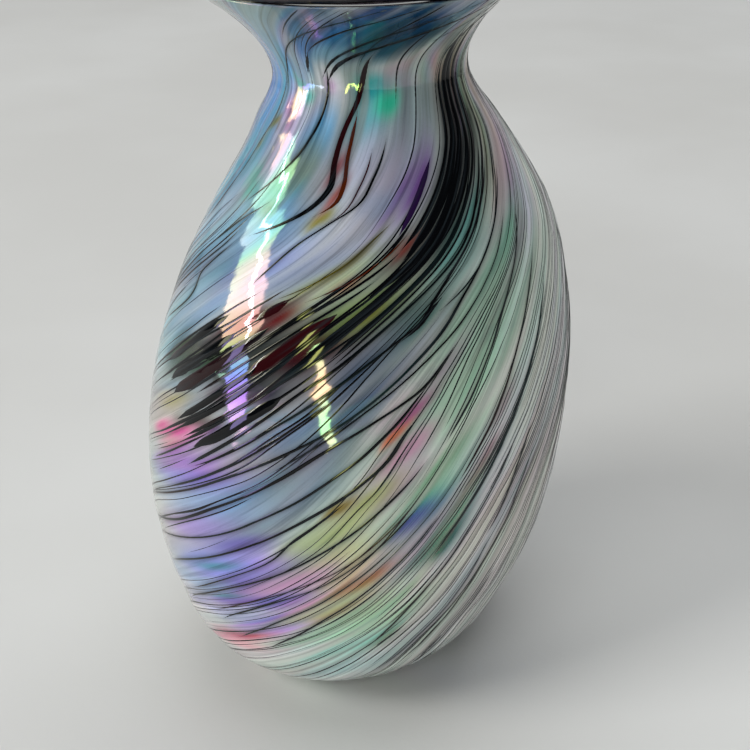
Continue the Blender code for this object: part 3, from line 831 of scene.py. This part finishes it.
def thread_heights(top, bottom):
    """Heights down a thread, evenly spaced along it."""
    levels = np.linspace(top, bottom, THREAD_LEVELS)
    total = path_length(levels)
    count = max(int((total[-1] - total[0]) / THREAD_STEP), 6)
    return np.interp(np.linspace(total[0], total[-1], count), total, levels)


def thread_noise(turns, along, threads, length, seed):
    """Noise down one thread, from its place round the body in turns."""
    return lattice_noise(np.full(len(along), turns), along / length, threads, seed)


def thread_shade(tint, along, turns):
    """Colour of a thread along its length, with maroon and teal stretches where it is dark."""
    change = 2.4 * thread_noise(turns, along, FINE_THREADS, 0.040, 31)
    colour = np.repeat(srgb(tint)[None, :], len(along), axis=0)
    for turned, name in ((change, "maroon"), (-change, "teal")):
        share = np.clip(turned - 1.5, 0.0, 0.7)[:, None]
        colour = colour * (1.0 - share) + srgb(TINTS[name]) * share
    return colour


def painted_veil_on_threads(pull_degrees, height_mm):
    """Share of grey in the fine threads: black at the left and in the band, grey at the right, where the
    pale backdrop's reflection is painted over them.
    """
    start = THREAD_VEIL_STARTS + THREAD_VEIL_SHIFT * np.clip(THREAD_VEIL_SHIFT_STARTS - height_mm, 0.0, None)
    off = np.clip((wrapped(pull_degrees) - start) / THREAD_VEIL_REACH, 0.0, 1.0)
    return off * np.clip((THREAD_VEIL_TOP - height_mm) / THREAD_VEIL_FADE, 0.0, 1.0)


def make_fine_threads(name, numbers):
    """The many fine threads, which come and go where the field of threads thins out."""
    generator = np.random.default_rng(7)
    ranks = generator.permutation(FINE_THREADS) / FINE_THREADS
    shifts = generator.uniform(-0.35, 0.35, FINE_THREADS)
    heights = thread_heights(WALL_TOP - 0.0006, 0.003)
    along = path_length(heights)
    ribbons = Ribbons()
    for number in numbers:
        turns = (number + 0.5) / FINE_THREADS
        start = 2.0 * math.pi * (number + shifts[number]) / FINE_THREADS
        drift = 0.022 * thread_noise(turns, along, FINE_THREADS, 0.045, 21)
        wobble = 0.005 * thread_noise(turns, along, FINE_THREADS, 0.012, 22)
        pull = pull_of(start + drift + wobble, heights)
        closeness, width = thread_field(np.degrees(pull), heights * 1000.0)
        swell = thread_noise(turns, along, FINE_THREADS, 0.024, 23)
        presence = np.clip((closeness - ranks[number]) * 6.0 + 0.8 * swell, 0.0, 1.0)
        half = 0.5 * np.radians(FINENESS * width) * (0.70 + 0.45 * swell) * np.sqrt(presence)
        shade = thread_shade(TINTS["black"], along, turns)
        # painted reflection: grey mixed into the fine threads at the right
        grey = painted_veil_on_threads(np.degrees(pull), heights * 1000.0)[:, None]
        shade = shade * (1.0 - grey) + srgb(TINTS["grey"]) * grey
        edges = np.flatnonzero(np.diff(np.concatenate([[0], presence > PRESENT, [0]])))
        for first, last in zip(edges[::2], edges[1::2]):
            if last - first > SHORTEST_THREAD:
                part = slice(first, last)
                ribbons.add(heights[part], pull[part], half[part], shade[part], FINE_SIDES)
    return ribbons.build(name)


def bold_routes():
    """Width, tint, heights and pull lines of each bold thread, from its top down."""
    routes = []
    for number, (width, tint, route) in enumerate(BOLD_THREADS):
        levels = np.array([level / 1000.0 for level, _ in route])
        strands = strand_of(np.radians([pull for _, pull in route]), levels)
        knots = tuple(zip(levels[::-1], strands[::-1]))
        heights = thread_heights(levels[0], levels[-1])
        turns = (number + 0.5) / len(BOLD_THREADS)
        wobble = 0.12 * thread_noise(turns, path_length(heights), len(BOLD_THREADS), 0.008, 25)
        strand = smooth_value(knots, heights) + np.radians(wobble)
        routes.append((width, tint, heights, pull_of(strand, heights)))
    return routes


def make_bold_threads():
    """The bold threads and bands, each along its own route."""
    ribbons = Ribbons()
    routes = bold_routes()
    for number, (width, tint, heights, pull) in enumerate(routes):
        along = path_length(heights)
        turns = (number + 0.5) / len(routes)
        swell = thread_noise(turns, along, len(routes), 0.014, 24)
        run = (along - along[0]) / (along[-1] - along[0])
        ends = np.sqrt(np.clip(np.minimum(run, 1.0 - run) * BOLD_TAPER, 0.02, 1.0))
        rise = eased((heights - LOW_BOLDNESS_STARTS) / LOW_BOLDNESS_LENGTH)
        low = LOW_BOLDNESS + (1.0 - LOW_BOLDNESS) * rise
        half = 0.5 * math.radians(BOLDNESS * width) * (0.84 + 0.24 * swell) * ends * low
        shade = thread_shade(TINTS[tint], along, turns)
        ribbons.add(heights, pull, half, shade, BOLD_SIDES)
    return ribbons.build("bold_threads")


def floor_rings(ring, shares, level):
    """Level rings within a ring, at shares of its size."""
    rings = ring * shares[:, None, None]
    rings[..., 2] = level
    return rings


def make_lining():
    """The lining: its outer wall and underside, then the floor and wall of the inside."""
    angles = even_angles(LINING_COLUMNS)
    under = CASING_FLOOR + LAYER_GAP
    levels = np.linspace(WALL_TOP, under + LINING_START, LINING_OUTER_ROWS)
    angle, height = np.meshgrid(angles, levels)
    outer = inner_wall(angle, height, CASING_DEPTH * wall_share(height) + LAYER_GAP, under)
    levels = np.linspace(LINING_FLOOR + LINING_START, WALL_TOP, LINING_INNER_ROWS)
    angle, height = np.meshgrid(angles, levels)
    depth = (CASING_DEPTH + LINING_DEPTH) * wall_share(height) + LAYER_GAP
    ripple = LINING_RIPPLE * streaks(pull_angle(angle, height), height, 26, 0.04, 14)
    inner = inner_wall(angle, height, depth + ripple, LINING_FLOOR)
    underside = floor_rings(outer[-1], FLOOR_SHARES, under)
    floor = floor_rings(inner[0], FLOOR_SHARES[::-1], LINING_FLOOR)
    points = np.concatenate([outer, underside, floor, inner], axis=0)
    faces = grid_faces(len(points), LINING_COLUMNS, True)
    piece = make_object("dark_lining_glass", points, faces)
    add_flow(piece, angles, np.clip(points[..., 2], 0.0, WALL_TOP))
    return piece


def make_lip():
    """The wrap on the lip: a rounded ring that rises, falls and thickens slightly."""
    angles = even_angles(LIP_COLUMNS)
    box_low, box_high = (Vector(corner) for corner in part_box("lip_wrap"))
    middle_x = 0.5 * (box_low.x + box_high.x)
    outer = 0.5 * (box_high.x - box_low.x) - LIP_INSET
    swell = 1.0 + 0.05 * np.sin(2.0 * angles + 1.0) + 0.03 * np.sin(7.0 * angles)
    rings = np.empty((LIP_SIDES, LIP_COLUMNS, 3))
    for index in range(LIP_SIDES):
        turn = math.pi / 2.0 - 2.0 * math.pi * index / LIP_SIDES
        radius = outer + 0.5 * LIP_WIDTH * (math.cos(turn) * swell - 1.0)
        rise = 0.5 * LIP_HEIGHT * (math.sin(turn) * swell + 1.0)
        rings[index, :, 0] = middle_x + radius * np.cos(angles)
        rings[index, :, 1] = radius * np.sin(angles)
        rings[index, :, 2] = WALL_TOP + rise + lip_wave(angles)
    piece = make_object("lip_wrap_glass", rings, grid_faces(LIP_SIDES, LIP_COLUMNS, True))
    add_flow(piece, angles, np.full((LIP_SIDES, LIP_COLUMNS), WALL_TOP))
    return piece


def make_pontil():
    """The stub under the foot: a disc with a slight bevel and fine grinding rings."""
    angles = even_angles(PONTIL_COLUMNS)
    top = PONTIL_THICKNESS
    ground = PONTIL_RADIUS - GROUND_BEVEL
    outline = [(0.0004, top), (PONTIL_RADIUS - PONTIL_BEVEL, top)]
    outline += [(PONTIL_RADIUS, top - PONTIL_BEVEL), (PONTIL_RADIUS, 0.0005), (ground, 0.0001)]
    for step in range(1, PONTIL_RINGS):
        part = step / PONTIL_RINGS
        depth = GRIND_DEPTH + GRIND_RIPPLE * math.sin(23.0 * part)
        outline.append((ground * (1.0 - part), depth))
    rings = np.empty((len(outline), PONTIL_COLUMNS, 3))
    for index, (radius, level) in enumerate(outline):
        rings[index, :, 0] = radius * np.cos(angles)
        rings[index, :, 1] = radius * np.sin(angles)
        rings[index, :, 2] = level
    return make_object("ground_pontil", rings, grid_faces(len(outline), PONTIL_COLUMNS, True))


# ---------------------------------------------------------------- materials
# Sockets of a mix node set to colours: the share, the two colours, and the result
MIX_INPUTS = (0, 6, 7)
MIX_OUTPUT = 2


class Graph:
    """A short way to write the nodes of a material or of the world."""

    def __init__(self, owner, shader="Principled BSDF"):
        owner.use_nodes = True
        self.owner = owner
        self.tree = owner.node_tree
        self.shader = self.tree.nodes[shader]

    def node(self, kind, **settings):
        node = self.tree.nodes.new(kind)
        for key, value in settings.items():
            setattr(node, key, value)
        return node

    def link(self, source, target):
        self.tree.links.new(source, target)

    def fill(self, socket, value):
        """Set a socket to a number or a colour, or link another socket to it."""
        if isinstance(value, (int, float)):
            socket.default_value = value
        elif isinstance(value, tuple):
            socket.default_value = (*value, 1.0)
        else:
            self.link(value, socket)

    def give(self, name, value):
        """Fill an input of the shader."""
        self.fill(self.shader.inputs[name], value)

    def place(self, space="Object"):
        return self.node("ShaderNodeTexCoord").outputs[space]

    def attribute(self, name, output="Vector"):
        return self.node("ShaderNodeAttribute", attribute_name=name).outputs[output]

    def scaled(self, vector, amounts):
        node = self.node("ShaderNodeVectorMath", operation="MULTIPLY")
        self.link(vector, node.inputs[0])
        node.inputs[1].default_value = amounts
        return node.outputs["Vector"]

    def noise(self, vector, scale=1.0, detail=3.0, roughness=0.5, distortion=0.0):
        node = self.node("ShaderNodeTexNoise")
        self.link(vector, node.inputs["Vector"])
        node.inputs["Scale"].default_value = scale
        node.inputs["Detail"].default_value = detail
        node.inputs["Roughness"].default_value = roughness
        node.inputs["Distortion"].default_value = distortion
        return node.outputs["Fac"]

    def spread(self, value, low, high, to_low=0.0, to_high=1.0):
        node = self.node("ShaderNodeMapRange", interpolation_type="SMOOTHSTEP")
        self.link(value, node.inputs["Value"])
        node.inputs["From Min"].default_value = low
        node.inputs["From Max"].default_value = high
        node.inputs["To Min"].default_value = to_low
        node.inputs["To Max"].default_value = to_high
        return node.outputs["Result"]

    def maths(self, operation, first, second):
        node = self.node("ShaderNodeMath", operation=operation)
        for socket, value in zip(node.inputs, (first, second)):
            self.fill(socket, value)
        return node.outputs["Value"]

    def mix(self, share, first, second, blend="MIX"):
        node = self.node("ShaderNodeMix", data_type="RGBA", blend_type=blend)
        for socket, value in zip(MIX_INPUTS, (share, first, second)):
            self.fill(node.inputs[socket], value)
        return node.outputs[MIX_OUTPUT]

    def bump(self, height, strength, distance, normal=None):
        node = self.node("ShaderNodeBump")
        self.link(height, node.inputs["Height"])
        node.inputs["Strength"].default_value = strength
        node.inputs["Distance"].default_value = distance
        if normal is not None:
            self.link(normal, node.inputs["Normal"])
        return node.outputs["Normal"]


def casing_material():
    """Opal glass with its washes, veins, hairs and specks under a thin iridescent film."""
    graph = Graph(bpy.data.materials.new("iridised_opal_glass"))
    flow = graph.attribute("flow")
    wash = graph.attribute("wash", "Color")
    place = graph.place()
    hair = graph.noise(graph.scaled(flow, (62.0, 62.0, 2.2)), detail=4.0, roughness=0.6)
    vein = graph.noise(graph.scaled(flow, (24.0, 24.0, 1.1)), detail=3.0, distortion=0.25)
    cloud = graph.noise(place, scale=38.0, detail=3.0)
    speck = graph.noise(place, scale=1900.0, detail=2.0)
    hair_share = graph.maths("MULTIPLY", graph.spread(hair, 0.50, 0.68), 0.42)
    vein_share = graph.maths("MULTIPLY", graph.spread(vein, 0.52, 0.70), 0.40)
    colour = graph.mix(hair_share, wash, (0.10, 0.12, 0.13), "MULTIPLY")
    colour = graph.mix(vein_share, colour, (0.22, 0.26, 0.29), "MULTIPLY")
    pale = graph.spread(vein, 0.46, 0.30)
    colour = graph.mix(pale, colour, (1.32, 1.34, 1.36), "MULTIPLY")
    grain = graph.maths("MULTIPLY", graph.spread(speck, 0.50, 0.72), 0.16)
    colour = graph.mix(grain, colour, (0.66, 0.68, 0.70), "MULTIPLY")
    graph.give("Base Color", colour)
    graph.give("Roughness", graph.spread(cloud, 0.3, 0.7, 0.035, 0.09))
    film = graph.noise(graph.scaled(flow, (3.0, 3.0, 0.7)), detail=2.0, distortion=0.6)
    graph.give("Thin Film Thickness", graph.spread(film, 0.3, 0.7, 300.0, 500.0))
    graph.give("Thin Film IOR", 1.64)
    graph.give("IOR", 1.5)
    first = graph.bump(vein, 0.5, 0.00012)
    graph.give("Normal", graph.bump(hair, 0.5, 0.00004, first))
    return graph.owner


def thread_material():
    """Glossy dark glass in the threads' shades: their own colours, with painted reflection greying them at
    the right.
    """
    graph = Graph(bpy.data.materials.new("dark_thread_glass"))
    flow = graph.attribute("flow")
    shade = graph.attribute("shade", "Color")
    hair = graph.noise(graph.scaled(flow, (80.0, 80.0, 3.0)), detail=3.0)
    colour = graph.mix(graph.spread(hair, 0.45, 0.75), shade, (0.016, 0.022, 0.026))
    graph.give("Base Color", colour)
    graph.give("Roughness", graph.spread(hair, 0.3, 0.7, 0.03, 0.08))
    graph.give("IOR", 1.32)
    graph.give("Normal", graph.bump(hair, 0.4, 0.00003))
    return graph.owner


def dark_material(name, colour, low, high):
    """Swirled dark glass with a roughness from low to high."""
    graph = Graph(bpy.data.materials.new(name))
    flow = graph.attribute("flow")
    place = graph.place()
    swirl = graph.noise(graph.scaled(flow, (16.0, 16.0, 2.0)), detail=4.0, distortion=0.4)
    tone = graph.mix(graph.spread(swirl, 0.4, 0.7), colour, tuple(4.0 * part for part in colour))
    graph.give("Base Color", tone)
    cloud = graph.noise(place, scale=60.0, detail=3.0)
    graph.give("Roughness", graph.spread(cloud, 0.3, 0.7, low, high))
    graph.give("IOR", 1.55)
    graph.give("Normal", graph.bump(swirl, 0.4, 0.00008))
    return graph.owner


def ground_material():
    """Pale ground glass."""
    graph = Graph(bpy.data.materials.new("ground_glass"))
    place = graph.place()
    grind = graph.noise(place, scale=900.0, detail=4.0, roughness=0.7)
    cloud = graph.noise(place, scale=120.0, detail=3.0)
    tone = graph.mix(graph.spread(cloud, 0.35, 0.7), (0.20, 0.22, 0.23), (0.42, 0.45, 0.46))
    graph.give("Base Color", tone)
    graph.give("Roughness", graph.spread(grind, 0.3, 0.7, 0.38, 0.6))
    graph.give("Normal", graph.bump(grind, 0.6, 0.00005))
    return graph.owner


def floor_material():
    """A pale matt surface without shine, slightly clouded."""
    graph = Graph(bpy.data.materials.new("pale_floor"))
    place = graph.place()
    cloud = graph.noise(place, scale=3.0, detail=4.0)
    grain = graph.noise(place, scale=700.0, detail=2.0)
    tone = graph.mix(graph.spread(cloud, 0.3, 0.7), (0.60, 0.60, 0.58), (0.66, 0.665, 0.65))
    graph.give("Base Color", tone)
    graph.give("Roughness", 0.55)
    graph.give("Normal", graph.bump(grain, 0.15, 0.0002))
    graph.give("Specular IOR Level", 0.0)
    return graph.owner


def dress(piece, material, nodes):
    """Give a piece its material and body, and say which CAD nodes it replaces."""
    piece.data.materials.append(material)
    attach(piece, "root")
    if nodes:
        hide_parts(*nodes)


# ---------------------------------------------------------------- the stage
CAMERA_PLACE = Vector((0.0133, -0.3070, 0.2492))
CAMERA_PITCH = math.radians(27.5)
CAMERA_ROLL = -0.0169
CAMERA_LENS = 57.6
AIM = Vector((0.008, 0.0, 0.105))
ROOM_COLOUR = (0.035, 0.037, 0.043)
BACKDROP_COLOUR = (0.70, 0.71, 0.70)


def add_camera():
    """The camera, pitched down and rolled slightly."""
    data = bpy.data.cameras.new("camera")
    data.lens = CAMERA_LENS
    data.sensor_width = 36.0
    data.clip_start = 0.01
    camera = bpy.data.objects.new("camera", data)
    bpy.context.scene.collection.objects.link(camera)
    tilt = Matrix.Rotation(math.pi / 2.0 - CAMERA_PITCH, 4, "X")
    roll = Matrix.Rotation(CAMERA_ROLL, 4, "Z")
    camera.matrix_world = Matrix.Translation(CAMERA_PLACE) @ tilt @ roll
    bpy.context.scene.camera = camera


def add_softbox(name, azimuth, elevation, distance, width, height, watts, colour, tilt=0.0):
    """An area light seen from the vase at an azimuth (0 is the camera's side) and elevation.

    It faces the vase, turned by its tilt, in degrees, about the line to it.
    """
    data = bpy.data.lights.new(name, "AREA")
    data.shape = "RECTANGLE"
    data.size = width
    data.size_y = height
    data.energy = watts
    data.color = colour
    light = bpy.data.objects.new(name, data)
    bpy.context.scene.collection.objects.link(light)
    side = math.radians(azimuth)
    rise = math.radians(elevation)
    direction = Vector(
        (math.sin(side) * math.cos(rise), -math.cos(side) * math.cos(rise), math.sin(rise))
    )
    light.visible_camera = False
    light.location = AIM + direction * distance
    facing = direction.to_track_quat("Z", "Y").to_matrix()
    turned = facing @ Matrix.Rotation(math.radians(tilt), 3, "Z")
    light.rotation_euler = turned.to_euler()
    return light


def add_glint(name, *place_and_light):
    """A softbox seen only in reflections, for the glints on the glass."""
    light = add_softbox(name, *place_and_light)
    light.visible_diffuse = False


def add_world():
    """Dark surroundings with a pale backdrop low down behind the vase."""
    graph = Graph(bpy.data.worlds.new("studio"), "Background")
    bpy.context.scene.world = graph.owner
    parts = graph.node("ShaderNodeSeparateXYZ")
    graph.link(graph.place("Generated"), parts.inputs[0])
    behind = graph.spread(parts.outputs["Y"], 0.12, 0.50)
    low = graph.spread(parts.outputs["Z"], 0.55, 0.20)
    both = graph.maths("MULTIPLY", behind, low)
    graph.give("Color", graph.mix(both, ROOM_COLOUR, BACKDROP_COLOUR))


def add_floor():
    """The pale surface the vase stands on, which reaches away behind it."""
    bpy.ops.mesh.primitive_plane_add(size=6.0, location=(0.0, 1.2, 0.0))
    floor = bpy.context.object
    floor.name = "floor"
    floor.data.materials.append(floor_material())


def main():
    trails = [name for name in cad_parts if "_trail_" in name]
    dress(make_casing(), casing_material(), ["opal_casing"])
    threads = thread_material()
    dress(make_bold_threads(), threads, trails)
    quarter = FINE_THREADS // 4
    for index, side in enumerate(("right", "back", "left", "front")):
        numbers = range(index * quarter, (index + 1) * quarter)
        dress(make_fine_threads("fine_threads_" + side, numbers), threads, [])
    lining = dark_material("dark_lining_glass", (0.012, 0.009, 0.012), 0.06, 0.14)
    dress(make_lining(), lining, ["dark_lining"])
    lip = dark_material("dark_lip_glass", (0.010, 0.007, 0.008), 0.04, 0.10)
    dress(make_lip(), lip, ["lip_wrap"])
    dress(make_pontil(), ground_material(), ["pontil_stub"])
    add_camera()
    add_world()
    add_floor()
    add_glint("window", -82.0, 20.0, 0.47, 0.19, 0.26, 1.15, (1.0, 0.97, 0.66), 35.0)
    add_glint("window_bar", -76.0, 20.0, 0.46, 0.012, 0.26, 0.42, (1.0, 0.99, 0.93), 35.0)
    add_glint("low_window", -67.0, -2.0, 0.48, 0.08, 0.18, 0.55, (0.56, 0.46, 1.0), 37.0)
    add_glint("lamp", -22.0, 0.0, 0.45, 0.034, 0.22, 0.50, (0.95, 1.0, 0.30), 28.0)
    for light in (
        add_softbox("key", -66.0, 38.0, 4.4, 1.6, 1.6, 96.0, (1.0, 0.99, 0.97)),
        add_softbox("fill", 165.0, 80.0, 3.4, 3.2, 3.2, 76.0, (0.98, 0.99, 1.0)),
        add_softbox("front", -24.0, 26.0, 3.6, 1.8, 1.8, 44.0, (1.0, 1.0, 1.0)),
    ):
        light.visible_glossy = False
    bpy.context.scene.view_settings.view_transform = "Standard"


main()
